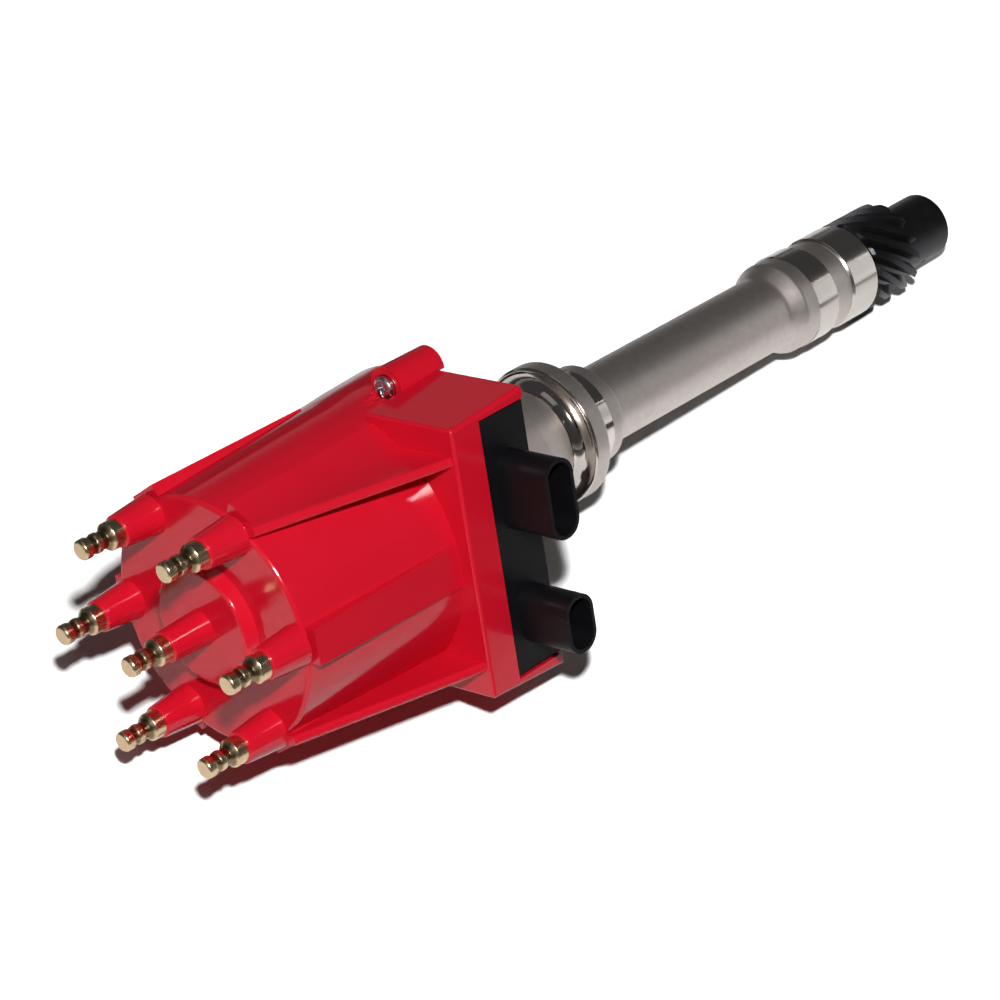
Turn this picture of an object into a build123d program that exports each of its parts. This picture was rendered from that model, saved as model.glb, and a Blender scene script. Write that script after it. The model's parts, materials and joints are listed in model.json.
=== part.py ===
"""Six-cylinder ignition distributor with a plug-in ignition module.

The frame: the origin is on the shaft's axis, at the underside of the mounting collar.
+Z points up the shaft to the cap, -Y to the module's two sockets. All sizes are in mm.
"""

from build123d import *
from math import cos, degrees, pi, radians, sin, tan
import os

os.makedirs("parts", exist_ok=True)

# ---- Driving dimensions ------------------------------------------------------------

# Clearances
running_gap = 0.03          # shaft in its bushings, radial
end_play = 0.25             # shaft, gear and washers, along the axis
fit_gap = 0.3               # loose fit between neighbouring pieces
air_gap = 0.8               # rotor tip to electrode, and reluctor to pole teeth

# Towers and posts
tower_count = 6
tower_circle_r = 35.3
tower_top_z = 163.7
tower_top_r = 5.0
tower_base_r = 6.3
centre_tower_rise = 5.4     # how far the centre tower stands above the others
centre_tower_top_r = 4.9
centre_tower_base_r = 5.5
post_collar_r = 4.3
post_collar_h = 3.6
post_waist_r = 2.7
post_waist_l = 3.8          # from the collar to the ridge
post_ridge_r = 3.1
post_ridge_h = 1.2
post_head_r = 3.15
post_head_h = 2.8
post_h = 14.0
post_slope = 0.8            # axial length of the slopes beside the ridge and the head
post_edge_r = 0.5
electrode_r = 2.2
electrode_drop = 10.5       # electrode below the underside of the cap's plate

# Cap
plate_z = 150.5             # flat top of the cap
rim_r = 39.0
cap_wall = 2.8
skirt_wall = 3.6            # thicker low down, behind the screw heads
boss_r = 19.8               # raised round step under the centre tower
boss_top_r = 18.2
boss_h = 4.2
seat_z = 59.5               # rim of the cap on the base
shoulder_z = 90.0           # top of the square front
front_side_wall = 1.8       # cap wall beside the module
front_flare = 2.2           # side walls lean out by this much at the rim
front_y = 47.5              # flat front face
front_back_y = 13.0         # where the square front ends at each side
skirt_r = 44.4
skirt_top_z = 76.0
skirt_top_r = 43.6
edge_r = 1.4                # moulded edges
small_edge_r = 0.5
pilaster_out = 42.5         # outer face of the rib under each tower
pilaster_half_w = 5.6
pilaster_foot_half_w = 7.0
fin_out_x = 34.4
fin_t = 3.2
fin_top_y = 26.6

# Cap screws
screw_x = 44.5
screw_y = 7.0
screw_boss_r = 6.4
screw_boss_bottom_z = 56.0
screw_boss_top_z = 74.6
screw_face_z = 73.4
screw_r = 2.1
screw_head_r = 3.7
screw_head_h = 3.2
screw_engage = 9.0
screw_post_r = 4.4

# Housing
collar_r = 23.3
collar_t = 7.0
pilot_r = 16.6              # a little over the bands, which pass through the same bore
pilot_l = 14.0
shank_r = 13.1
band_r = 16.5
groove_r = 15.6
shoulder_r = 16.1
shank_taper_z = -106.0      # shank starts to swell towards the bands
shoulder_top_z = -112.0
shoulder_edge_r = 2.6
band_top_z = -118.1
groove_top_z = -129.1
groove_bottom_z = -137.0
housing_bottom_z = -151.4
neck_r = 17.4
neck_z = 11.5
neck_fillet = 2.3           # sloped root of the neck on the collar
hub_bottom_r = 19.5
hub_bottom_z = 14.5
hub_step_r = 4.0            # the hub flares quickly, then runs straight out
hub_step_h = 12.0
hub_rim_h = 6.0             # upright rim under the base plate
hub_top_r = 36.0
base_t = 3.5                # flat base plate under the cap
base_inset = 1.0            # the cap stands this much proud of the plate
base_front_y = 38.8
bowl_r = 31.0
bowl_floor_z = 50.0
ledge_r = 21.0
ledge_z = 61.0
stem_r = 12.6               # upright stem round the shaft
stem_top_z = 83.0
machined_chamfer = 0.7

# Shaft, bushings and gear
shaft_r = 6.25
shaft_top_z = 122.0
bushing_wall = 2.6
upper_bushing_l = 22.0
lower_bushing_l = 26.0
washer_t = 0.8
washer_r = 12.0
gear_teeth = 13
gear_module = 1.8143        # normal module of a 14 pitch gear
gear_helix = 36.0           # degrees, right hand
gear_face_w = 24.0
hub_r = 11.6
hub_l = 25.0
pin_r = 2.4
pin_turn = 30.0             # the roll pin's direction round the shaft, degrees
drive_slot_w = 5.0
drive_slot_depth = 7.0
hub_chamfer = 1.6
rotor_flat_x = 4.2          # flat on the shaft's top

# Pickup and rotor
coil_h = 9.0
coil_r = 29.0
magnet_h = 4.0
magnet_r = 28.0
pole_plate_t = 2.0
pole_tooth_h = 7.0
pole_tooth_w = 5.0
reluctor_tip_r = 20.0
reluctor_root_r = 16.5
reluctor_web_t = 4.0
clip_t = 1.2
rotor_disc_z = 118.0
rotor_disc_t = 3.5
rotor_disc_r = 25.0
rotor_hub_r = 12.0
rotor_arm_w = 12.0
blade_t = 1.6
blade_w = 8.0
brush_r = 2.6
brush_l = 9.0
brush_socket_l = 9.0        # how far the centre post reaches into its tower
spring_wire_r = 0.3
spring_turns = 5

# Ignition module
module_half_w = 41.2
module_front_y = 46.8
module_depth = 13.0
module_top_z = 78.3
sink_t = 2.5
socket_front_y = 66.0
socket_z = 68.2
socket_h = 12.0
socket_wall = 1.3
wide_socket_x = 16.0
wide_socket_w = 25.0
narrow_socket_x = -24.0
narrow_socket_w = 18.4
pin_w = 1.4
contact_l = 8.0
contact_pitch = 4.4
module_ear_x = 35.5
module_ear_l = 9.0
module_ear_w = 9.0
module_ear_t = 4.5
module_screw_r = 1.8
module_screw_head_r = 3.4
module_screw_head_h = 2.2

# ---- Sizes that follow -------------------------------------------------------------

rising = (Align.CENTER, Align.CENTER, Align.MIN)     # a solid that stands on its place
hanging = (Align.CENTER, Align.CENTER, Align.MAX)    # a solid that hangs under its place

tower_step = 360 / tower_count
front_tower = -90           # the tower over the module faces front
plate_under_z = plate_z - cap_wall
shoulder_body_r = pilaster_out
electrode_tip_z = plate_under_z - electrode_drop
centre_top_z = tower_top_z + centre_tower_rise
base_bottom_z = seat_z - base_t
front_half_w = module_half_w + front_side_wall
front_rim_half_w = front_half_w + front_flare
blade_tip_r = tower_circle_r - electrode_r - air_gap
blade_z = electrode_tip_z + 2.0
brush_tip_z = blade_z + blade_t + 0.15
bushing_r = shaft_r + running_gap + bushing_wall
relief_r = bushing_r - bushing_wall / 2.5
gear_top_z = housing_bottom_z - washer_t - end_play
gear_bottom_z = gear_top_z - gear_face_w - hub_l
gear_pitch_r = gear_module * gear_teeth / (2 * cos(radians(gear_helix)))
gear_tip_r = gear_pitch_r + gear_module
gear_root_r = gear_pitch_r - 1.25 * gear_module
pin_across = Plane(
    origin=(0, 0, gear_bottom_z + hub_l / 2),
    z_dir=(cos(radians(pin_turn)), sin(radians(pin_turn)), 0),
)
reluctor_bottom_z = ledge_z + coil_h + magnet_h + pole_plate_t + fit_gap
reluctor_top_z = stem_top_z + fit_gap + reluctor_web_t
screw_spots = [(screw_x, -screw_y), (-screw_x, -screw_y)]
ear_spots = [(module_ear_x, 0), (-module_ear_x, 0)]
ear_y = -(module_front_y - module_depth - sink_t) + module_ear_l / 2
sockets = [(wide_socket_x, wide_socket_w), (narrow_socket_x, narrow_socket_w)]


def terminal_profile(bottom, top_z, neck_r):
    """Half section of a turned post: electrode, collar, waist, ridge, waist and head."""
    ridge_z = top_z + post_collar_h + post_waist_l
    head_z = top_z + post_h - post_head_h
    with BuildSketch(Plane.XZ, mode=Mode.PRIVATE) as profile:
        with BuildLine():
            Polyline(
                (0, bottom),
                (neck_r - post_edge_r, bottom),
                (neck_r, bottom + post_edge_r),
                (neck_r, top_z),
                (post_collar_r, top_z),
                (post_collar_r, top_z + post_collar_h),
                (post_waist_r, top_z + post_collar_h + 2 * post_slope),
                (post_waist_r, ridge_z - post_slope),
                (post_ridge_r, ridge_z),
                (post_ridge_r, ridge_z + post_ridge_h),
                (post_waist_r, ridge_z + post_ridge_h + post_slope),
                (post_waist_r, head_z - post_slope),
                (post_head_r, head_z),
                (post_head_r, top_z + post_h),
                (0, top_z + post_h),
                close=True,
            )
        make_face()
        fillet(
            profile.vertices().sort_by_distance((post_head_r, top_z + post_h))[0],
            2 * post_edge_r,
        )
        fillet(
            profile.vertices().sort_by_distance((post_collar_r, top_z + post_collar_h))[0],
            post_edge_r,
        )
    return profile.sketch


# ---- Housing -----------------------------------------------------------------------

with BuildPart() as housing:
    with BuildSketch(Plane.XZ) as housing_section:
        with BuildLine():
            Polyline(
                (0, housing_bottom_z),
                (band_r - machined_chamfer, housing_bottom_z),
                (band_r, housing_bottom_z + machined_chamfer),
                (band_r, groove_bottom_z - machined_chamfer),
                (groove_r, groove_bottom_z),
                (groove_r, groove_top_z),
                (band_r, groove_top_z + machined_chamfer),
                (band_r, band_top_z - machined_chamfer),
                (shoulder_r, band_top_z),
                (shoulder_r, shoulder_top_z),
                (shank_r, shank_taper_z),
                (shank_r, -pilot_l - (pilot_r - shank_r)),
                (pilot_r, -pilot_l),
                (pilot_r, 0),
                (collar_r - machined_chamfer, 0),
                (collar_r, machined_chamfer),
                (collar_r, collar_t - machined_chamfer),
                (collar_r - machined_chamfer, collar_t),
                (neck_r + neck_fillet, collar_t),
                (neck_r, collar_t + neck_fillet),
                (neck_r, neck_z),
                (hub_bottom_r, hub_bottom_z),
                (hub_bottom_r + hub_step_r, hub_bottom_z + hub_step_h),
                (hub_top_r, base_bottom_z - hub_rim_h),
                (hub_top_r, base_bottom_z),
                (0, base_bottom_z),
                close=True,
            )
        make_face()
        for spot, radius in (
            ((shoulder_r, shoulder_top_z), shoulder_edge_r),
            ((shank_r, shank_taper_z), 2 * shoulder_edge_r),
            ((hub_bottom_r + hub_step_r, hub_bottom_z + hub_step_h), 2 * shoulder_edge_r),
            ((hub_top_r, base_bottom_z - hub_rim_h), shoulder_edge_r),
        ):
            fillet(housing_section.vertices().sort_by_distance(spot)[0], radius)
    revolve(axis=Axis.Z)
    # flat base plate that closes the cap, notched round the two screw bosses
    with BuildSketch(Plane.XY.offset(base_bottom_z)):
        Circle(skirt_r - base_inset)
        with Locations((0, -base_front_y / 2)):
            Rectangle(2 * module_half_w, base_front_y)
        with Locations(*screw_spots):
            Circle(screw_boss_r + fit_gap, mode=Mode.SUBTRACT)
    extrude(amount=base_t)
    # posts that take the cap screws, each on a narrow web
    for spot in screw_spots:
        side = 1 if spot[0] > 0 else -1
        with Locations((spot[0], spot[1], base_bottom_z)):
            Cylinder(screw_post_r, base_t + screw_engage, align=rising)
        with Locations((spot[0] - side * screw_post_r, spot[1], base_bottom_z)):
            Box(2 * screw_post_r, screw_post_r, base_t, align=rising)
    # open bowl with the ledge and stem that carry the pickup
    with BuildSketch(Plane.XY.offset(bowl_floor_z)):
        Circle(bowl_r)
        Circle(ledge_r, mode=Mode.SUBTRACT)
    extrude(amount=seat_z - bowl_floor_z, mode=Mode.SUBTRACT)
    with Locations((0, 0, bowl_floor_z)):
        Cylinder(ledge_r, ledge_z - bowl_floor_z, align=rising)
        Cylinder(stem_r, stem_top_z - bowl_floor_z, align=rising)
    # bore: bushing seats at both ends and a wider relief between them
    with Locations((0, 0, housing_bottom_z)):
        Cylinder(bushing_r, lower_bushing_l, align=rising, mode=Mode.SUBTRACT)
    with Locations((0, 0, stem_top_z)):
        Cylinder(bushing_r, upper_bushing_l, align=hanging, mode=Mode.SUBTRACT)
    with Locations((0, 0, housing_bottom_z + lower_bushing_l)):
        Cylinder(
            relief_r,
            stem_top_z - upper_bushing_l - housing_bottom_z - lower_bushing_l,
            align=rising,
            mode=Mode.SUBTRACT,
        )
    # threaded holes for the cap screws and the module screws
    for spot in screw_spots:
        with Locations((spot[0], spot[1], seat_z + screw_engage)):
            Cylinder(screw_r, screw_engage + base_t, align=hanging, mode=Mode.SUBTRACT)
    for spot in ear_spots:
        with Locations((spot[0], ear_y, seat_z)):
            Cylinder(module_screw_r, base_t, align=hanging, mode=Mode.SUBTRACT)
housing.part.label = "housing"

# ---- Cap ---------------------------------------------------------------------------

with BuildPart() as cap:
    # flared round body
    with BuildSketch(Plane.XZ) as body_section:
        with BuildLine():
            Polyline(
                (0, seat_z),
                (skirt_r, seat_z),
                (skirt_top_r, skirt_top_z),
                (shoulder_body_r, shoulder_z),
                (rim_r, plate_z),
                (0, plate_z),
                close=True,
            )
        make_face()
        fillet(body_section.vertices().group_by(Axis.Y)[-1].sort_by(Axis.X)[-1], edge_r)
    revolve(axis=Axis.Z)
    # square front that covers the module; its side walls lean out towards the rim
    with BuildPart(mode=Mode.PRIVATE) as front:
        for z, half_w in ((seat_z, front_rim_half_w), (shoulder_z, front_half_w)):
            with BuildSketch(Plane.XY.offset(z)) as front_section:
                with Locations((0, -(front_y + front_back_y) / 2)):
                    Rectangle(2 * half_w, front_y - front_back_y)
                fillet(front_section.vertices().group_by(Axis.Y)[0], edge_r)
        loft()
        fillet(front.faces().sort_by(Axis.Z)[-1].edges().sort_by(Axis.Y)[:-1], edge_r * 0.7)
    add(front.part)
    # screw bosses
    for spot in screw_spots:
        with Locations((spot[0], spot[1], screw_boss_bottom_z)):
            Cylinder(screw_boss_r, screw_boss_top_z - screw_boss_bottom_z, align=rising)
    # flat-faced rib under each tower, a little wider at its foot
    for i in range(tower_count):
        for z, half_w in ((plate_z - edge_r, pilaster_half_w), (shoulder_z, pilaster_foot_half_w)):
            foot = Plane.XY.offset(z).rotated((0, 0, front_tower + i * tower_step))
            with BuildSketch(foot):
                with Locations((pilaster_out * 0.75, 0)):
                    Rectangle(pilaster_out / 2, 2 * half_w)
        loft()
    # thin fins from the two front corner towers down to the square front
    for side in (1, -1):
        with BuildPart(mode=Mode.PRIVATE) as fin:
            with BuildSketch(Plane.YZ.offset(side * fin_out_x)):
                with BuildLine():
                    Polyline(
                        (0, plate_z),
                        (-fin_top_y, plate_z),
                        (-(front_y - edge_r), shoulder_z),
                        (-(front_y - edge_r), shoulder_z - cap_wall / 2),
                        (0, shoulder_z - cap_wall / 2),
                        close=True,
                    )
                make_face()
            extrude(amount=-side * fin_t)
            sloping = fin.faces().sort_by(Axis.Y)[:2].sort_by(Axis.Z)[-1]
            fillet(sloping.edges().filter_by(Axis.X, reverse=True), fin_t * 0.4)
        add(fin.part)
    # round step and the towers
    with Locations((0, 0, plate_z)):
        Cone(boss_r, boss_top_r, boss_h, align=rising)
        with PolarLocations(tower_circle_r, tower_count, start_angle=front_tower):
            Cone(tower_base_r, tower_top_r, tower_top_z - plate_z, align=rising)
    with Locations((0, 0, plate_z + boss_h)):
        Cone(
            centre_tower_base_r,
            centre_tower_top_r,
            centre_top_z - plate_z - boss_h,
            align=rising,
        )
    fillet(cap.edges().filter_by(GeomType.CIRCLE).group_by(Axis.Z)[-1], small_edge_r)
    tower_tops = cap.edges().filter_by(GeomType.CIRCLE).filter_by_position(
        Axis.Z, tower_top_z - fit_gap, tower_top_z + fit_gap
    )
    fillet(tower_tops, small_edge_r)
    step_edge = cap.edges().filter_by(GeomType.CIRCLE).filter_by(
        lambda edge: abs(edge.radius - boss_top_r) < fit_gap
    )
    fillet(step_edge, edge_r)
    # hollow inside
    with BuildSketch(Plane.XZ):
        with BuildLine():
            Polyline(
                (0, seat_z - 1),
                (skirt_r - skirt_wall, seat_z - 1),
                (skirt_r - skirt_wall, seat_z),
                (skirt_top_r - skirt_wall, skirt_top_z),
                (shoulder_body_r - cap_wall, shoulder_z),
                (rim_r - cap_wall, plate_under_z),
                (0, plate_under_z),
                close=True,
            )
        make_face()
    revolve(axis=Axis.Z, mode=Mode.SUBTRACT)
    for z, half_w in ((seat_z, front_rim_half_w), (shoulder_z - cap_wall, front_half_w)):
        with BuildSketch(Plane.XY.offset(z)):
            with Locations((0, -(front_y + front_back_y) / 2)):
                Rectangle(
                    2 * (half_w - front_side_wall),
                    front_y - front_back_y - 2 * cap_wall,
                )
    loft(mode=Mode.SUBTRACT)
    # window in the front wall for the module
    with Locations((0, -front_y, seat_z)):
        Box(
            2 * (module_half_w + fit_gap),
            2 * (cap_wall + edge_r),
            module_top_z + fit_gap - seat_z,
            align=rising,
            mode=Mode.SUBTRACT,
        )
    # electrode bosses under the plate, and the bores for the posts and the brush
    with Locations((0, 0, plate_under_z + 1)):
        with PolarLocations(tower_circle_r, tower_count, start_angle=front_tower):
            Cylinder(electrode_r + 1.6, electrode_drop / 2 + 1, align=hanging)
        Cylinder(brush_r + 2.4, electrode_drop / 3 + 1, align=hanging)
    with Locations((0, 0, tower_top_z)):
        with PolarLocations(tower_circle_r, tower_count, start_angle=front_tower):
            Cylinder(electrode_r, 2 * (tower_top_z - electrode_tip_z), mode=Mode.SUBTRACT)
    with Locations((0, 0, centre_top_z)):
        Cylinder(
            brush_r + running_gap,
            2 * (centre_top_z - plate_under_z + electrode_drop),
            mode=Mode.SUBTRACT,
        )
    # screw holes, head reliefs and the pockets for the housing's posts
    for spot in screw_spots:
        with Locations((spot[0], spot[1], screw_face_z)):
            Cylinder(screw_r + fit_gap, 2 * (screw_face_z - screw_boss_bottom_z), mode=Mode.SUBTRACT)
        with Locations((spot[0], spot[1], screw_face_z)):
            Cylinder(screw_head_r + fit_gap, screw_head_h + edge_r, align=rising, mode=Mode.SUBTRACT)
        with Locations((spot[0], spot[1], seat_z + screw_engage + fit_gap)):
            Cylinder(
                screw_post_r + fit_gap,
                screw_engage + base_t + 2 * screw_boss_r,
                align=hanging,
                mode=Mode.SUBTRACT,
            )
        side = 1 if spot[0] > 0 else -1
        with Locations((spot[0] - side * screw_boss_r, spot[1], seat_z)):
            Box(
                2 * screw_boss_r,
                4 * screw_boss_r,
                2 * (seat_z - screw_boss_bottom_z),
                align=hanging,
                mode=Mode.SUBTRACT,
            )
cap.part.label = "cap"


# ---- Brass posts -------------------------------------------------------------------

posts = []
for i in range(tower_count):
    angle = front_tower + i * tower_step
    with BuildPart() as post:
        add(terminal_profile(electrode_tip_z, tower_top_z, electrode_r))
        revolve(axis=Axis.Z)
    spot = Vector(tower_circle_r, 0, 0).rotate(Axis.Z, angle)
    posts.append(post.part.moved(Location(spot)))
    posts[i].label = f"post_{i + 1}"

with BuildPart() as centre_post:
    add(terminal_profile(centre_top_z - brush_socket_l, centre_top_z, brush_r + running_gap))
    revolve(axis=Axis.Z)
centre_post.part.label = "centre_post"

# ---- Centre brush and its spring ---------------------------------------------------

with BuildPart() as brush:
    with Locations((0, 0, brush_tip_z)):
        Cylinder(brush_r, brush_l, align=rising)
    fillet(brush.edges().sort_by(Axis.Z)[0], brush_r / 3)
brush.part.label = "brush"

spring_bottom_z = brush_tip_z + brush_l + spring_wire_r
spring_top_z = centre_top_z - brush_socket_l - spring_wire_r
with BuildPart() as brush_spring:
    with BuildLine() as coil:
        Helix(
            (spring_top_z - spring_bottom_z) / spring_turns,
            spring_top_z - spring_bottom_z,
            brush_r - 2 * spring_wire_r,
            center=(0, 0, spring_bottom_z),
        )
    with BuildSketch(Plane(origin=coil.line @ 0, z_dir=coil.line % 0)):
        Circle(spring_wire_r)
    sweep()
brush_spring.part.label = "brush_spring"

# ---- Cap screws --------------------------------------------------------------------

cap_screws = []
for name, spot in zip(("cap_screw_right", "cap_screw_left"), screw_spots):
    with BuildPart() as screw:
        with Locations((spot[0], spot[1], screw_face_z)):
            Cylinder(screw_r, screw_face_z - base_bottom_z, align=hanging)
            Cylinder(screw_head_r, screw_head_h, align=rising)
        fillet(screw.edges().filter_by(GeomType.CIRCLE).sort_by(Axis.Z)[-1], screw_head_h / 3)
        with Locations((spot[0], spot[1], screw_face_z + screw_head_h)):
            Box(screw_head_r * 1.2, screw_r / 2, screw_head_h * 0.9, mode=Mode.SUBTRACT)
            Box(screw_r / 2, screw_head_r * 1.2, screw_head_h * 0.9, mode=Mode.SUBTRACT)
    screw.part.label = name
    cap_screws.append(screw.part)

# ---- Bushings, shaft and gear ------------------------------------------------------

with BuildPart() as upper_bushing:
    with Locations((0, 0, stem_top_z)):
        Cylinder(bushing_r, upper_bushing_l, align=hanging)
        Cylinder(shaft_r + running_gap, upper_bushing_l, align=hanging, mode=Mode.SUBTRACT)
upper_bushing.part.label = "upper_bushing"

with BuildPart() as lower_bushing:
    with Locations((0, 0, housing_bottom_z)):
        Cylinder(bushing_r, lower_bushing_l, align=rising)
        Cylinder(shaft_r + running_gap, lower_bushing_l, align=rising, mode=Mode.SUBTRACT)
lower_bushing.part.label = "lower_bushing"

with BuildPart() as shaft:
    with Locations((0, 0, gear_bottom_z)):
        Cylinder(shaft_r, shaft_top_z - gear_bottom_z, align=rising)
    chamfer(shaft.edges().sort_by(Axis.Z)[-1], shaft_r / 8)
    # flat that keys the rotor, slot that drives the oil pump, hole for the roll pin
    with Locations((shaft_r + rotor_flat_x, 0, shaft_top_z)):
        Box(
            2 * shaft_r,
            2 * shaft_r,
            shaft_top_z - reluctor_top_z - fit_gap,
            align=hanging,
            mode=Mode.SUBTRACT,
        )
    with Locations((0, 0, gear_bottom_z)):
        Box(drive_slot_w, 2 * shaft_r, 2 * drive_slot_depth, mode=Mode.SUBTRACT)
    with Locations(pin_across):
        Cylinder(pin_r, 3 * shaft_r, mode=Mode.SUBTRACT)
shaft.part.label = "shaft"

with BuildPart() as shim_washer:
    with Locations((0, 0, gear_top_z + end_play / 2)):
        Cylinder(washer_r, washer_t, align=rising)
        Cylinder(shaft_r + running_gap, washer_t, align=rising, mode=Mode.SUBTRACT)
shim_washer.part.label = "shim_washer"

# one tooth space, swept along the helix by twisting its section
twist = degrees(gear_face_w * tan(radians(gear_helix)) / gear_pitch_r)
twist_steps = 6
space_half = pi / (2 * gear_teeth)
with BuildPart() as tooth_space:
    for i in range(twist_steps + 1):
        share = i / twist_steps
        turned = Plane.XY.offset(gear_bottom_z + hub_l - 0.5 + share * (gear_face_w + 1))
        with BuildSketch(turned.rotated((0, 0, share * twist))):
            with BuildLine():
                Polyline(
                    (gear_root_r * cos(space_half * 0.5), -gear_root_r * sin(space_half * 0.5)),
                    (gear_tip_r + 1, -(gear_tip_r + 1) * sin(space_half * 1.55)),
                    (gear_tip_r + 1, (gear_tip_r + 1) * sin(space_half * 1.55)),
                    (gear_root_r * cos(space_half * 0.5), gear_root_r * sin(space_half * 0.5)),
                    close=True,
                )
            make_face()
    loft()

with BuildPart() as drive_gear:
    with Locations((0, 0, gear_top_z)):
        Cylinder(gear_tip_r, gear_face_w, align=hanging)
    chamfer(drive_gear.edges().filter_by(GeomType.CIRCLE), gear_module / 2)
    for i in range(gear_teeth):
        add(tooth_space.part.rotate(Axis.Z, i * 360 / gear_teeth), mode=Mode.SUBTRACT)
    with Locations((0, 0, gear_bottom_z)):
        Cylinder(hub_r, hub_l, align=rising)
    chamfer(drive_gear.edges().filter_by(GeomType.CIRCLE).sort_by(Axis.Z)[0], hub_chamfer)
    with Locations((0, 0, gear_bottom_z)):
        Cylinder(shaft_r, gear_face_w + hub_l, align=rising, mode=Mode.SUBTRACT)
    with Locations(pin_across):
        Cylinder(pin_r, 3 * hub_r, mode=Mode.SUBTRACT)
drive_gear.part.label = "drive_gear"

with BuildPart() as roll_pin:
    with Locations(pin_across):
        Cylinder(pin_r, 2 * (hub_r - hub_chamfer))
        Cylinder(pin_r / 2, 2 * hub_r, mode=Mode.SUBTRACT)
roll_pin.part.label = "roll_pin"

# ---- Pickup: coil, magnet, pole piece and reluctor ---------------------------------

with BuildPart() as pickup_coil:
    with BuildSketch(Plane.XZ):
        with BuildLine():
            Polyline(
                (stem_r + fit_gap, ledge_z),
                (coil_r, ledge_z),
                (coil_r, ledge_z + 1.5),
                (coil_r - 2, ledge_z + 1.5),
                (coil_r - 2, ledge_z + coil_h - 1.5),
                (coil_r, ledge_z + coil_h - 1.5),
                (coil_r, ledge_z + coil_h),
                (stem_r + fit_gap, ledge_z + coil_h),
                close=True,
            )
        make_face()
    revolve(axis=Axis.Z)
pickup_coil.part.label = "pickup_coil"

magnet_z = ledge_z + coil_h
with BuildPart() as ring_magnet:
    with Locations((0, 0, magnet_z)):
        Cylinder(magnet_r, magnet_h, align=rising)
        Cylinder(stem_r + clip_t + fit_gap, magnet_h, align=rising, mode=Mode.SUBTRACT)
ring_magnet.part.label = "ring_magnet"

pole_z = magnet_z + magnet_h
with BuildPart() as pole_piece:
    with Locations((0, 0, pole_z)):
        Cylinder(magnet_r, pole_plate_t, align=rising)
        with PolarLocations(reluctor_tip_r + air_gap + pole_plate_t / 2, tower_count):
            Box(pole_plate_t, pole_tooth_w, pole_plate_t + pole_tooth_h, align=rising)
        Cylinder(
            reluctor_tip_r + air_gap,
            pole_plate_t + pole_tooth_h,
            align=rising,
            mode=Mode.SUBTRACT,
        )
pole_piece.part.label = "pole_piece"

with BuildPart() as pickup_clip:
    with Locations((0, 0, magnet_z)):
        Cylinder(stem_r + clip_t, clip_t, align=rising)
        Cylinder(stem_r, clip_t, align=rising, mode=Mode.SUBTRACT)
        with Locations((0, -stem_r, 0)):
            Box(stem_r / 2, 4 * clip_t, clip_t, align=rising, mode=Mode.SUBTRACT)
pickup_clip.part.label = "pickup_clip"

with BuildPart() as reluctor:
    with Locations((0, 0, reluctor_bottom_z)):
        Cylinder(reluctor_root_r, reluctor_top_z - reluctor_bottom_z, align=rising)
        with PolarLocations(reluctor_tip_r / 2, tower_count, start_angle=tower_step / 2):
            Box(
                reluctor_tip_r,
                pole_tooth_w * 0.8,
                pole_z + pole_plate_t + pole_tooth_h - reluctor_bottom_z,
                align=rising,
            )
        Cylinder(
            stem_r + clip_t + fit_gap,
            reluctor_top_z - reluctor_web_t - reluctor_bottom_z,
            align=rising,
            mode=Mode.SUBTRACT,
        )
        Cylinder(shaft_r, reluctor_top_z - reluctor_bottom_z, align=rising, mode=Mode.SUBTRACT)
reluctor.part.label = "reluctor"

# ---- Rotor and its blade -----------------------------------------------------------

with BuildPart() as rotor:
    with BuildSketch(Plane.XZ):
        with BuildLine():
            Polyline(
                (0, reluctor_top_z),
                (rotor_hub_r, reluctor_top_z),
                (rotor_hub_r, rotor_disc_z),
                (rotor_disc_r, rotor_disc_z),
                (rotor_disc_r, rotor_disc_z + rotor_disc_t),
                (rotor_hub_r, rotor_disc_z + rotor_disc_t),
                (rotor_hub_r * 0.75, blade_z),
                (0, blade_z),
                close=True,
            )
        make_face()
    revolve(axis=Axis.Z)
    # arm that carries the blade out towards the posts
    with Locations((0, 0, rotor_disc_z + rotor_disc_t / 2)):
        Box(
            blade_tip_r - rotor_disc_t,
            rotor_arm_w,
            blade_z - rotor_disc_z - rotor_disc_t / 2,
            align=(Align.MIN, Align.CENTER, Align.MIN),
        )
    # keyed socket for the top of the shaft
    with BuildSketch(Plane.XY.offset(reluctor_top_z)):
        Circle(shaft_r + running_gap)
        with Locations((rotor_flat_x + running_gap + shaft_r, 0)):
            Rectangle(2 * shaft_r, 4 * shaft_r, mode=Mode.SUBTRACT)
    extrude(amount=shaft_top_z - reluctor_top_z + fit_gap, mode=Mode.SUBTRACT)
    with Locations((0, 0, reluctor_top_z)):
        Cylinder(shaft_r + running_gap, 2 * fit_gap, align=rising, mode=Mode.SUBTRACT)
rotor.part.label = "rotor"

with BuildPart() as rotor_blade:
    with BuildSketch(Plane.XY.offset(blade_z)):
        Circle(blade_w / 2)
        with Locations((blade_tip_r / 2, 0)):
            Rectangle(blade_tip_r, blade_w)
        Circle(blade_tip_r, mode=Mode.INTERSECT)
    extrude(amount=blade_t)
rotor_blade.part.label = "rotor_blade"

# ---- Ignition module ---------------------------------------------------------------

socket_mouth = Plane(origin=(0, -socket_front_y, socket_z), x_dir=(1, 0, 0), z_dir=(0, -1, 0))
body_mid_y = -(module_front_y - module_depth / 2)

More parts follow.
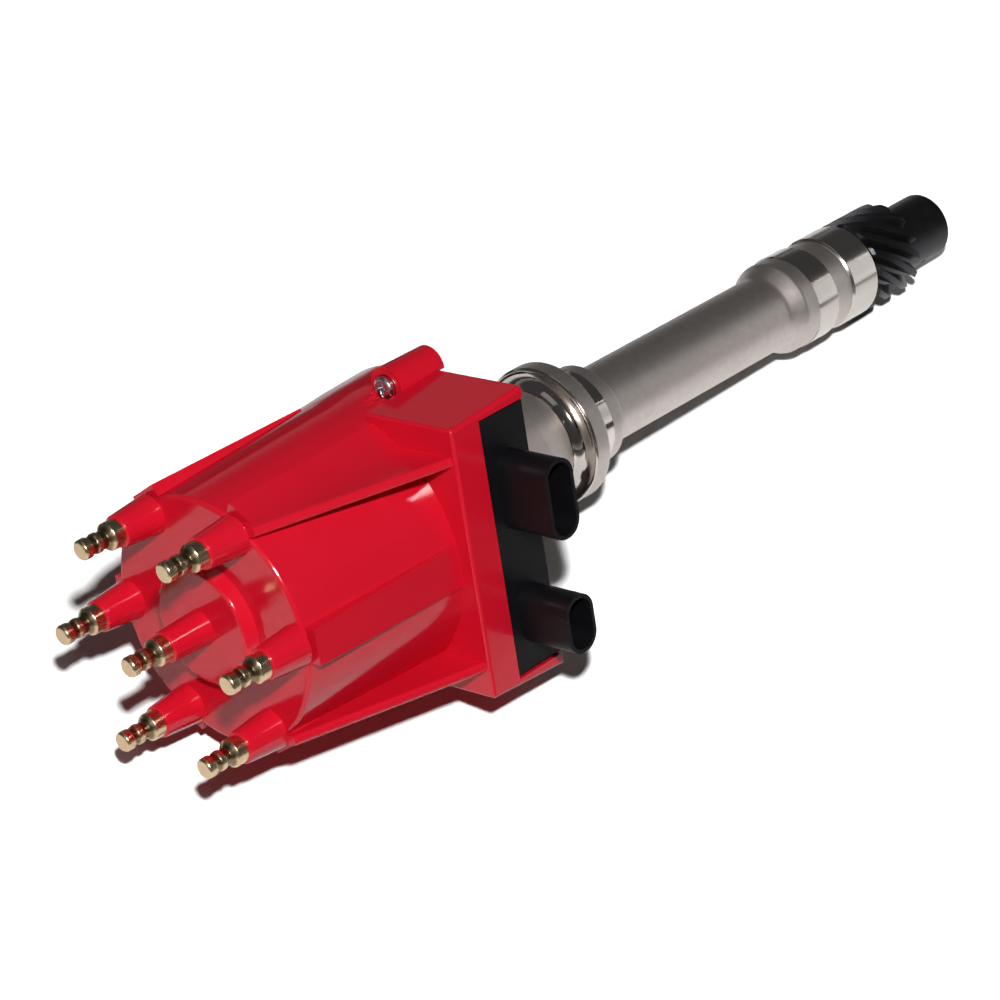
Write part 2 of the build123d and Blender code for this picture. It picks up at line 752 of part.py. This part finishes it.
with BuildPart() as module:
    with BuildSketch(Plane.XY.offset(seat_z)):
        with Locations((0, body_mid_y)):
            Rectangle(2 * module_half_w, module_depth)
    extrude(amount=module_top_z - seat_z)
    fillet(module.edges().filter_by(Axis.Z).group_by(Axis.Y)[0], edge_r / 2)
    # two ears behind the body, screwed to the base
    with Locations((0, 0, seat_z)):
        for spot in ear_spots:
            with Locations((spot[0], ear_y, 0)):
                Box(module_ear_w, module_ear_l + 2 * sink_t, module_ear_t, align=rising)
                Cylinder(module_screw_r, module_ear_t, align=rising, mode=Mode.SUBTRACT)
    # socket barrels
    for x, width in sockets:
        with BuildSketch(socket_mouth):
            with Locations((x, 0)):
                RectangleRounded(width, socket_h, socket_h / 2 - 0.3)
        extrude(amount=-(socket_front_y - module_front_y + edge_r))
    for x, width in sockets:
        with BuildSketch(socket_mouth):
            with Locations((x, 0)):
                RectangleRounded(
                    width - 2 * socket_wall,
                    socket_h - 2 * socket_wall,
                    socket_h / 2 - socket_wall - 0.3,
                )
        extrude(amount=-(socket_front_y - module_front_y), mode=Mode.SUBTRACT)
module.part.label = "module"

contacts = []
for name, (x, width), count in zip(("wide_socket_pins", "narrow_socket_pins"), sockets, (4, 2)):
    with BuildPart() as pins:
        with Locations((x, -module_front_y, socket_z)):
            with GridLocations(contact_pitch, 1, count, 1):
                Box(pin_w, contact_l, pin_w / 2, align=(Align.CENTER, Align.MAX, Align.CENTER))
    pins.part.label = name
    contacts.append(pins.part)

with BuildPart() as heat_sink:
    with Locations((0, -(module_front_y - module_depth), seat_z + module_ear_t + fit_gap)):
        Box(
            2 * (module_half_w - module_ear_w),
            sink_t,
            module_top_z - seat_z - module_ear_t - 2 * fit_gap,
            align=(Align.CENTER, Align.MIN, Align.MIN),
        )
heat_sink.part.label = "heat_sink"

with BuildPart() as module_screws:
    for spot in ear_spots:
        with Locations((spot[0], ear_y, seat_z + module_ear_t)):
            Cylinder(module_screw_r, module_ear_t + base_t, align=hanging)
            Cylinder(module_screw_head_r, module_screw_head_h, align=rising)
module_screws.part.label = "module_screws"

# ---- Write every piece -------------------------------------------------------------

turning = [shaft, drive_gear, roll_pin, reluctor, rotor, rotor_blade]
fixed = [housing, cap, centre_post, brush, brush_spring, upper_bushing, lower_bushing, shim_washer]
fixed += [pickup_coil, ring_magnet, pole_piece, pickup_clip, module, heat_sink, module_screws]
pieces = [piece.part for piece in turning + fixed] + posts + cap_screws + contacts
for piece in pieces:
    export_step(piece, f"parts/{piece.label}.step")
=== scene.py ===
"""Looks of a six-cylinder ignition distributor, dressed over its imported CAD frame."""

import json
from math import cos, pi, radians, sin

import bpy
from mathutils import Euler, Matrix, Vector


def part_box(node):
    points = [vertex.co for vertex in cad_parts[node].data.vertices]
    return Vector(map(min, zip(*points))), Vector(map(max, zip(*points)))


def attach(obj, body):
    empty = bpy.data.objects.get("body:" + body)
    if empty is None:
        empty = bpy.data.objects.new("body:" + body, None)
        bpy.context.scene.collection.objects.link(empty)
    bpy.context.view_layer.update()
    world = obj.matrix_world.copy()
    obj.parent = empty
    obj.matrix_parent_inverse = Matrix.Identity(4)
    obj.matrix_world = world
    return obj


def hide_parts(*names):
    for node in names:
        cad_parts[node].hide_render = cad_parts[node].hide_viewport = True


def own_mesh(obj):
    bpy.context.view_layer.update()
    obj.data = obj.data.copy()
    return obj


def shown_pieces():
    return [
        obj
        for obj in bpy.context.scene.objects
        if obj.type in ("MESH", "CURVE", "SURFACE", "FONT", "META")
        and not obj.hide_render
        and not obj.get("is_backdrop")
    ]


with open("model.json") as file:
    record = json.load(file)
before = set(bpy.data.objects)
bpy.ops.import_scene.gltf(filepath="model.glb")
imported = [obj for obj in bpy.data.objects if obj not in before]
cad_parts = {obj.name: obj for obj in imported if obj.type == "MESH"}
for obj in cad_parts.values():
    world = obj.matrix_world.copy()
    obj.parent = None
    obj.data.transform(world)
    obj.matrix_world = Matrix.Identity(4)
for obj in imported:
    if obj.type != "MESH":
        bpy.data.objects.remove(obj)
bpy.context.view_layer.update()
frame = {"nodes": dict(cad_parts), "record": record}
bpy.ops.object.select_all(action="DESELECT")
bpy.context.scene.view_settings.view_transform = "Standard"

MM = 0.001
MERGE = 0.002 * MM  # points closer than this are joined
nodes = frame["nodes"]
record = frame["record"]
slot_of_node = {entry["node"]: entry["material_slot"] for entry in record["subparts"]}
body_of_node = {
    node: body for body, held in record["behaviour"]["bodies"].items() for node in held
}


def top_of(node):
    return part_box(node)[1][2]


# ---- Shader arithmetic -----------------------------------------------------------


class Value:
    """A shader socket that takes part in plain arithmetic."""

    def __init__(self, tree, socket):
        self.tree = tree
        self.socket = socket

    def _math(self, operation, *terms, clamp=False):
        node = self.tree.nodes.new("ShaderNodeMath")
        node.operation = operation
        node.use_clamp = clamp
        for slot, term in zip(node.inputs, terms):
            if isinstance(term, Value):
                self.tree.links.new(term.socket, slot)
            else:
                slot.default_value = term
        return Value(self.tree, node.outputs[0])

    def __add__(self, other):
        return self._math("ADD", self, other)

    def __radd__(self, other):
        return self._math("ADD", other, self)

    def __sub__(self, other):
        return self._math("SUBTRACT", self, other)

    def __rsub__(self, other):
        return self._math("SUBTRACT", other, self)

    def __mul__(self, other):
        return self._math("MULTIPLY", self, other)

    def __rmul__(self, other):
        return self._math("MULTIPLY", other, self)

    def __truediv__(self, other):
        return self._math("DIVIDE", self, other)

    def __pow__(self, other):
        return self._math("POWER", self, other)

    def __gt__(self, other):
        return self._math("GREATER_THAN", self, other)

    def __lt__(self, other):
        return self._math("LESS_THAN", self, other)

    def __abs__(self):
        return self._math("ABSOLUTE", self)

    def either(self, other):
        return self._math("MAXIMUM", self, other)

    def clamped(self):
        return self._math("ADD", self, 0.0, clamp=True)

    def past(self, start, fade):
        """0 up to start, rising to 1 over fade."""
        return ((self - start) / fade).clamped()

    def between(self, low, high, fade):
        """1 from low to high, fading at both ends."""
        return self.past(low - fade / 2, fade) * (1 - self.past(high - fade / 2, fade))

    def wave(self):
        """Between 0 and 1, once up and down over every 2 pi."""
        return self._math("SINE", self) * 0.5 + 0.5


class Graph:
    """A node tree, with the one method that adds nodes to it."""

    def __init__(self, tree):
        self.tree = tree

    def feed(self, slot, value):
        if isinstance(value, Value):
            self.tree.links.new(value.socket, slot)
        else:
            slot.default_value = value

    def output(self, node, which=0):
        return Value(self.tree, node.outputs[which])

    def node(self, kind, settings=None, out=0, **sockets):
        """A node with its settings, then its sockets: one output, or the node if out is None."""
        node = self.tree.nodes.new(kind)
        for key, value in (settings or {}).items():
            setattr(node, key, value)
        for name, value in sockets.items():
            which = int(name[3:]) if name.startswith("in_") else name.replace("_", " ")
            self.feed(node.inputs[which], value)
        return node if out is None else self.output(node, out)

    def xyz(self, vector):
        apart = self.node("ShaderNodeSeparateXYZ", out=None, Vector=vector)
        return [self.output(apart, which) for which in range(3)]


class Finish(Graph):
    """A material built on one Principled shader and the piece's own coordinates."""

    def __init__(self, name, **sockets):
        self.material = bpy.data.materials.new(name)
        self.material.use_nodes = True
        super().__init__(self.material.node_tree)
        self.shader = self.tree.nodes["Principled BSDF"]
        self.place = self.node("ShaderNodeTexCoord", out="Object")
        self.x, self.y, self.z = self.xyz(self.place)
        self.set(**sockets)

    def set(self, **sockets):
        for name, value in sockets.items():
            self.feed(self.shader.inputs[name.replace("_", " ")], value)

    def from_axis(self):
        """Distance from the Z axis."""
        return (self.x * self.x + self.y * self.y) ** 0.5

    def noise(self, per_metre, detail=3.0, roughness=0.5):
        return self.node(
            "ShaderNodeTexNoise",
            Vector=self.place,
            Scale=per_metre,
            Detail=detail,
            Roughness=roughness,
        )

    def mix(self, factor, a, b):
        """Colour a where factor is 0 and b where it is 1."""
        settings = {"data_type": "RGBA"}
        return self.node("ShaderNodeMix", settings, out=2, in_0=factor, in_6=a, in_7=b)

    def bump(self, height, distance, strength):
        normal = self.node("ShaderNodeBump", Height=height, Distance=distance, Strength=strength)
        self.set(Normal=normal)


def paint(red, green, blue):
    """A display colour of 0 to 255 as the linear colour that a shader takes."""
    shares = [c / 255 for c in (red, green, blue)]
    return (*(s / 12.92 if s <= 0.04 else ((s + 0.055) / 1.055) ** 2.4 for s in shares), 1.0)


def grey(level):
    return (level, level, level, 1.0)


# ---- Finishes --------------------------------------------------------------------

TURN = 2 * pi

# how far below a post's top each of its two waists, where shade is painted, starts and ends
POST_WAISTS = ((3.1 * MM, 5.0 * MM), (6.8 * MM, 9.7 * MM))
WAIST_FADE = 0.6 * MM
CENTRE_POST_WITHIN = 10 * MM
BRASS_TOOL_PITCH = 0.22 * MM

# heights of what was turned on the casting, which leaves the collar's rim as it was cast
TURNED_SEAT = (-9.5 * MM, 12.0 * MM)
UPPER_BAND = (-129.0 * MM, -118.1 * MM)
LOWER_BAND = (-152.0 * MM, -137.1 * MM)
CAST_RIM = (0.8 * MM, 6.2 * MM)
CAST_RIM_R = 23.25 * MM
BANDS_BELOW = -100 * MM
TURNED_FADE = 0.2 * MM
TOOL_PITCH_ALONG = 0.30 * MM
TOOL_PITCH_ACROSS = 0.26 * MM


def cap_plastic():
    """Glossy red moulding."""
    f = Finish("cap_plastic", IOR=1.5)
    f.set(Base_Color=f.mix(f.noise(60.0, 4.0), paint(202, 17, 38), paint(211, 21, 44)))
    f.set(Roughness=0.09 + 0.07 * f.noise(180.0))
    f.bump(f.noise(160.0, 2.0), 0.06 * MM, 0.25)
    return f.material


def turned_brass():
    """Polished posts, with painted shade darkening their waists."""
    f = Finish("turned_brass", Metallic=1.0)
    post_top = top_of("post_1")
    centre_post_lift = top_of("centre_post") - post_top
    height = f.z - centre_post_lift * (f.from_axis() < CENTRE_POST_WITHIN)
    upper_waist_shade, lower_waist_shade = (
        height.between(post_top - end, post_top - start, WAIST_FADE) for start, end in POST_WAISTS
    )
    tool_rings = (f.z * (TURN / BRASS_TOOL_PITCH)).wave()
    polished = f.mix(f.noise(300.0), paint(220, 190, 150), paint(232, 206, 170))
    # painted shade: the waists turn a dull brown, which also dims the red reflections in them
    f.set(Base_Color=f.mix(upper_waist_shade.either(lower_waist_shade) * 0.8, polished, paint(104, 82, 52)))
    f.set(Roughness=0.2 + 0.08 * f.noise(500.0) + 0.03 * tool_rings)
    f.bump(tool_rings, 0.004 * MM, 0.5)
    return f.material


def cast_aluminium():
    """Satin casting, bright where the collar, pilot and bands were turned."""
    f = Finish("cast_aluminium", Metallic=1.0)
    radius = f.from_axis()
    seat, upper_band, lower_band, rim = (
        f.z.between(*zone, TURNED_FADE) for zone in (TURNED_SEAT, UPPER_BAND, LOWER_BAND, CAST_RIM)
    )
    turned = seat.either(upper_band).either(lower_band) * (1 - rim * (radius > CAST_RIM_R))
    grain = f.noise(1500.0, 4.0, 0.6)
    pits = f.noise(380.0, 5.0, 0.65)
    tool_rings = (f.z * (TURN / TOOL_PITCH_ALONG) + radius * (TURN / TOOL_PITCH_ACROSS)).wave()
    cast = f.mix(pits, paint(194, 185, 180), paint(222, 213, 208))
    bright = f.mix(f.noise(90.0), paint(214, 206, 199), paint(229, 222, 216))
    f.set(Base_Color=f.mix(turned, cast, bright))
    cast_roughness = 0.42 + 0.12 * grain
    turned_roughness = 0.08 + 0.05 * tool_rings + 0.08 * (f.z < BANDS_BELOW)
    f.set(Roughness=cast_roughness * (1 - turned) + turned_roughness * turned)
    skin = 0.4 * pits + 0.6 * grain
    f.bump((1 - turned) * skin + turned * tool_rings * 0.03, 0.1 * MM, 0.5)
    return f.material


def black_oxide():
    """Blackened steel, clouded by its bath."""
    f = Finish("black_oxide", Metallic=0.9)
    cloud = f.noise(220.0, 5.0, 0.6)
    f.set(Base_Color=f.mix(cloud, paint(50, 50, 52), paint(74, 74, 78)))
    f.set(Roughness=0.3 + 0.2 * cloud)
    f.bump(f.noise(1400.0), 0.06 * MM, 0.4)
    return f.material


def module_plastic():
    """Matt black moulding."""
    f = Finish("module_plastic", IOR=1.4, Specular_IOR_Level=0.3)
    f.set(Base_Color=f.mix(f.noise(110.0, 4.0), paint(10, 10, 12), paint(18, 16, 20)))
    f.set(Roughness=0.42 + 0.14 * f.noise(700.0))
    f.bump(f.noise(1600.0), 0.05 * MM, 0.5)
    return f.material


def plated_zinc():
    """Bright plating of the cap's and module's screws."""
    f = Finish("plated_zinc", Metallic=1.0)
    f.set(Base_Color=f.mix(f.noise(400.0), paint(196, 196, 200), paint(226, 226, 230)))
    f.set(Roughness=0.18 + 0.14 * f.noise(900.0))
    f.bump(f.noise(1500.0), 0.03 * MM, 0.4)
    return f.material


def plain_metal(name, low, high, smoothest):
    f = Finish(name, Metallic=1.0)
    f.set(Base_Color=f.mix(f.noise(350.0), low, high))
    f.set(Roughness=smoothest + 0.15 * f.noise(900.0))
    f.bump(f.noise(1800.0), 0.03 * MM, 0.4)
    return f.material


def dull_moulding(name, low, high, smoothest):
    f = Finish(name)
    f.set(Base_Color=f.mix(f.noise(200.0), low, high))
    f.set(Roughness=smoothest + 0.12 * f.noise(900.0))
    f.bump(f.noise(1500.0), 0.04 * MM, 0.4)
    return f.material


finish_of_slot = {
    "cap_plastic": cap_plastic(),
    "brass": turned_brass(),
    "carbon": dull_moulding("carbon", paint(34, 34, 36), paint(52, 52, 54), 0.55),
    "spring_steel": plain_metal("spring_steel", paint(150, 150, 154), paint(180, 180, 184), 0.28),
    "zinc_plate": plated_zinc(),
    "cast_aluminium": cast_aluminium(),
    "bronze": plain_metal("bronze", paint(150, 112, 66), paint(172, 130, 80), 0.4),
    "steel": plain_metal("ground_steel", paint(168, 168, 170), paint(196, 196, 198), 0.22),
    "black_oxide_steel": black_oxide(),
    "sintered_iron": plain_metal("sintered_iron", paint(96, 96, 98), paint(120, 120, 122), 0.45),
    "magnet": dull_moulding("magnet", paint(54, 54, 58), paint(70, 70, 74), 0.6),
    "coil_bobbin": dull_moulding("coil_bobbin", paint(206, 202, 190), paint(220, 216, 206), 0.5),
    "rotor_plastic": dull_moulding("rotor_plastic", paint(30, 30, 32), paint(44, 44, 46), 0.45),
    "module_plastic": module_plastic(),
    "sink_aluminium": plain_metal("sink_aluminium", paint(186, 186, 188), paint(208, 208, 210), 0.35),
    "tin_plate": plain_metal("tin_plate", paint(196, 194, 184), paint(216, 214, 206), 0.25),
}
for name, slot in slot_of_node.items():
    nodes[name].data.materials.clear()
    nodes[name].data.materials.append(finish_of_slot[slot])


# ---- Pieces that keep the frame's shape ------------------------------------------

FLAT_WITHIN = radians(0.5)
BEVEL_FROM = radians(40)
SMOOTH_BELOW = radians(30)


def dress(node, edge=0.0, segments=2, smooth_below=SMOOTH_BELOW):
    """A joined-up copy of a CAD node, with rounded edges and smooth curves."""
    piece = bpy.data.objects.new(f"{node}_dressed", nodes[node].data.copy())
    bpy.context.scene.collection.objects.link(piece)
    bpy.ops.object.select_all(action="DESELECT")
    bpy.context.view_layer.objects.active = piece
    piece.select_set(True)
    bpy.ops.object.mode_set(mode="EDIT")
    bpy.ops.mesh.select_all(action="SELECT")
    bpy.ops.mesh.remove_doubles(threshold=MERGE)
    bpy.ops.mesh.dissolve_limited(angle_limit=FLAT_WITHIN)
    bpy.ops.object.mode_set(mode="OBJECT")
    if edge:
        bevel = piece.modifiers.new("rounded edges", "BEVEL")
        bevel.width = edge
        bevel.segments = segments
        bevel.limit_method = "ANGLE"
        bevel.angle_limit = BEVEL_FROM
        bpy.ops.object.modifier_apply(modifier=bevel.name)
    bpy.ops.object.shade_smooth_by_angle(angle=smooth_below)
    weighted = piece.modifiers.new("flat faces stay flat", "WEIGHTED_NORMAL")
    weighted.keep_sharp = True
    weighted.weight = 100
    bpy.ops.object.modifier_apply(modifier=weighted.name)
    piece.select_set(False)
    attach(piece, body_of_node[node])
    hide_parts(node)
    return piece


for name in ("cap", "module"):
    dress(name, edge=0.5 * MM)
for name in ("housing", "drive_gear"):
    dress(name, edge=0.25 * MM)
for name in (*(f"post_{number}" for number in range(1, 7)), "centre_post"):
    dress(name, edge=0.1 * MM, smooth_below=radians(35))
for name in (
    "cap_screw_right",
    "cap_screw_left",
    "shaft",
    "roll_pin",
    "shim_washer",
    "module_screws",
):
    dress(name, edge=0.1 * MM, segments=1)
for name in ("wide_socket_pins", "narrow_socket_pins", "heat_sink"):
    dress(name, edge=0.15 * MM, segments=1)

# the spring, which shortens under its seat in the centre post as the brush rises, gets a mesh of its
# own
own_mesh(dress("brush_spring"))


# ---- Collar cove -----------------------------------------------------------------

# the polished hollow that sweeps from the collar's top face up into the hub's neck
COVE_FOOT_R = 21.9 * MM
COVE_NECK_R = 17.35 * MM
COVE_LOW_Z = 6.98 * MM
COVE_HIGH_Z = 11.6 * MM
COVE_STEPS = 12
COVE_SIDES = 144
# its back and underside lie inside the housing's metal
COVE_BACK_R = COVE_NECK_R - 0.6 * MM
COVE_UNDER_Z = COVE_LOW_Z - 0.4 * MM


def cove_section():
    """Radius and height of each corner, up the hollow and round through the metal."""
    hollow = []
    for step in range(COVE_STEPS + 1):
        angle = pi / 2 * step / COVE_STEPS
        radius = COVE_FOOT_R - (COVE_FOOT_R - COVE_NECK_R) * sin(angle)
        height = COVE_HIGH_Z - (COVE_HIGH_Z - COVE_LOW_Z) * cos(angle)
        hollow.append((radius, height))
    back = [(COVE_BACK_R, COVE_HIGH_Z), (COVE_BACK_R, COVE_UNDER_Z), (COVE_FOOT_R, COVE_UNDER_Z)]
    return [*hollow, *back, hollow[0]]


def collar_cove():
    """One ring of metal, drawn up ring by ring from the foot of the hollow."""
    section = cove_section()
    radius, height = section[0]
    bpy.ops.object.select_all(action="DESELECT")
    bpy.ops.mesh.primitive_circle_add(vertices=COVE_SIDES, radius=radius, location=(0, 0, height))
    cove = bpy.context.object
    cove.name = "collar_cove"
    bpy.ops.object.transform_apply(location=True)
    bpy.ops.object.mode_set(mode="EDIT")
    for next_radius, next_height in section[1:]:
        rise = (0, 0, next_height - height)
        bpy.ops.mesh.extrude_region_move(TRANSFORM_OT_translate={"value": rise})
        bpy.ops.transform.resize(value=(next_radius / radius, next_radius / radius, 1))
        radius, height = next_radius, next_height
    bpy.ops.mesh.select_all(action="SELECT")
    bpy.ops.mesh.remove_doubles(threshold=MERGE)
    bpy.ops.mesh.normals_make_consistent(inside=False)
    bpy.ops.object.mode_set(mode="OBJECT")
    bpy.ops.object.shade_smooth_by_angle(angle=SMOOTH_BELOW)
    cove.data.materials.append(finish_of_slot["cast_aluminium"])
    cove.select_set(False)
    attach(cove, body_of_node["housing"])


collar_cove()


# ---- Camera ----------------------------------------------------------------------

EYE = Vector((369.12, -653.88, 661.70)) * MM
EYE_TURN = Euler([radians(angle) for angle in (-30.650, 41.812, -101.372)])

camera = bpy.data.objects.new("camera", bpy.data.cameras.new("camera"))
bpy.context.scene.collection.objects.link(camera)
camera.data.sensor_width = 36.0
camera.data.lens = 113.49
camera.data.clip_end = 20.0
camera.matrix_world = Matrix.LocRotScale(EYE, EYE_TURN, None)
bpy.context.scene.camera = camera


# ---- Floor -----------------------------------------------------------------------

# the floor lies against the cap's left screw boss, its round skirt and the gear
FLOOR_SIZE = 8.0
FLOOR_BEARING = radians(-22.3)  # where its normal points, round the part's axis
FLOOR_RISE = 0.113  # of its normal, for each metre outwards
FLOOR_REACH = 37.5 * MM  # from the origin, square to the axis

floor_up = Vector((cos(FLOOR_BEARING), sin(FLOOR_BEARING), FLOOR_RISE))
floor_at = -floor_up / floor_up.length_squared * FLOOR_REACH
floor_up.normalize()
bpy.ops.mesh.primitive_plane_add(size=FLOOR_SIZE)
floor = bpy.context.object
floor.name = "floor"
floor.rotation_mode = "QUATERNION"
floor.rotation_quaternion = floor_up.to_track_quat("Z", "Y")
floor.location = floor_at
floor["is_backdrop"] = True

# the sheet that reflections find on it, and how it ends
SHEET_HALF_W, SHEET_FADE_W = 0.16, 0.08
SHEET_HALF_L, SHEET_FADE_L = 0.4, 0.1
SHEET_PALER_PER_M = 20.0  # from the collar towards the gear
# how far from the origin the floor shows shadows, and over how far they fade
SHADOWS_WITHIN, SHADOWS_FADE = 0.16, 0.3


def floor_material():
    """White to the camera, and glowing where no shadow reaches. Reflections find a pale sheet
    that ends not far off, and what it lights a dark grey one. From behind it is clear."""
    f = Finish("floor", Roughness=1.0, Specular_IOR_Level=0.0, Emission_Strength=1.0)
    ray = f.node("ShaderNodeLightPath", out=None)
    seen = f.output(ray, "Is Camera Ray")
    mirrored = f.output(ray, "Is Glossy Ray")
    axis = floor.rotation_quaternion.inverted() @ Vector((0, 0, 1))
    beside = f.x * axis.y - f.y * axis.x
    along = f.x * axis.x + f.y * axis.y
    off_sheet_w = abs(beside).past(SHEET_HALF_W, SHEET_FADE_W)
    off_sheet_l = abs(along).past(SHEET_HALF_L, SHEET_FADE_L)
    beside_the_shank = (along * -SHEET_PALER_PER_M).clamped()
    pale = f.mix(beside_the_shank, grey(0.27), grey(0.4))
    reflected = f.mix((1 - off_sheet_w) * (1 - off_sheet_l), grey(0.03), pale)
    away = f.from_axis().past(SHADOWS_WITHIN, SHADOWS_FADE)
    white = f.mix(away, grey(0.55), grey(0.95))
    f.set(Base_Color=f.mix(seen, f.mix(mirrored, grey(0.1), reflected), white))
    f.set(Emission_Color=f.mix(seen * away, grey(0.0), grey(1.0)))
    behind = f.node("ShaderNodeNewGeometry", out="Backfacing")
    clear = f.node("ShaderNodeBsdfTransparent")
    surface = f.node("ShaderNodeMixShader", in_0=behind, in_1=f.output(f.shader), in_2=clear)
    f.feed(f.tree.nodes["Material Output"].inputs["Surface"], surface)
    return f.material


floor.data.materials.append(floor_material())


# ---- Lamps -----------------------------------------------------------------------

LAMPS_AIM = Vector((0, 0, 20 * MM))
FLASH_AT = (0.5406, -0.690, 0.6193)
FLASH_SIZE = (0.05, 0.05)


def softbox(name, where, size, watts):
    """An upright rectangular lamp that faces the part."""
    light = bpy.data.lights.new(name, "AREA")
    light.shape = "RECTANGLE"
    light.size, light.size_y = size
    light.energy = watts
    lamp = bpy.data.objects.new(name, light)
    bpy.context.scene.collection.objects.link(lamp)
    lamp.location = where
    lamp.rotation_mode = "QUATERNION"
    out = (Vector(where) - LAMPS_AIM).normalized()
    side = Vector((0, 0, 1)).cross(out).normalized()
    lamp.rotation_quaternion = Matrix((side, out.cross(side), out)).transposed().to_quaternion()
    return lamp


def collection_of(name, held):
    """A collection that a lamp's light can be kept to."""
    collection = bpy.data.collections.new(name)
    for piece in held:
        collection.objects.link(piece)
    return collection


TURNED_NAMES = ("housing", "collar", "post", "centre_post", "shaft")
pieces = list(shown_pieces())
floor_alone = collection_of("floor_alone", [floor])
part_alone = collection_of("part_alone", pieces)
turned_alone = collection_of("turned_alone", [p for p in pieces if p.name.startswith(TURNED_NAMES)])

softbox("flash", FLASH_AT, FLASH_SIZE, watts=10.5)
softbox("fill_above", (1.3, -0.1, 0.2), (0.8, 0.8), watts=0.4)
# the same flash again for the floor alone, which turns white around its shadows
floor_flash = softbox("floor_flash", FLASH_AT, FLASH_SIZE, watts=27)
floor_flash.light_linking.receiver_collection = floor_alone
# a soft light for the far side, which the floor would otherwise shade
far_side = softbox("far_side", (-0.9, 0.9, 0.05), (1.0, 1.0), watts=6)
far_side.light_linking.blocker_collection = part_alone
far_side.light_linking.receiver_collection = part_alone
far_side.visible_glossy = False
# a pale window past the cap's end, which edges the mouldings
window = softbox("window", (0.3, -0.1, 1.1), (0.5, 0.5), watts=0.5)
window.light_linking.receiver_collection = part_alone
# a narrow strip beside the gear, which draws a thin line down each turned surface
strip = softbox("strip", (0.53, -0.76, -0.75), (0.012, 1.0), watts=0.13)
strip.light_linking.receiver_collection = turned_alone
low_light = softbox("low_light", (0.08, -0.62, -1.0), (0.7, 0.7), watts=1.1)
low_light.light_linking.receiver_collection = turned_alone


# ---- World -----------------------------------------------------------------------

# a dim room, which reflections find paler near the floor
DIM_LIGHT = 0.035
DIM_GLOSS = 0.045
LOW_GLOSS = 0.2
LOW_FADE = 5.0

world = bpy.data.worlds.new("studio")
bpy.context.scene.world = world
world.use_nodes = True
room = Graph(world.node_tree)
path = room.node("ShaderNodeLightPath", out=None)
camera_ray = room.output(path, "Is Camera Ray")
gloss_ray = room.output(path, "Is Glossy Ray").either(room.output(path, "Is Transmission Ray"))
way_x, way_y, way_z = room.xyz(room.node("ShaderNodeTexCoord", out="Generated"))
rise = way_x * floor_up.x + way_y * floor_up.y + way_z * floor_up.z
near_floor = (1 - rise * LOW_FADE).clamped()
gloss = gloss_ray * (DIM_GLOSS + LOW_GLOSS * near_floor)
background = room.tree.nodes["Background"]
room.feed(background.inputs["Color"], grey(1.0))
room.feed(background.inputs["Strength"], camera_ray.either(gloss).either(DIM_LIGHT))
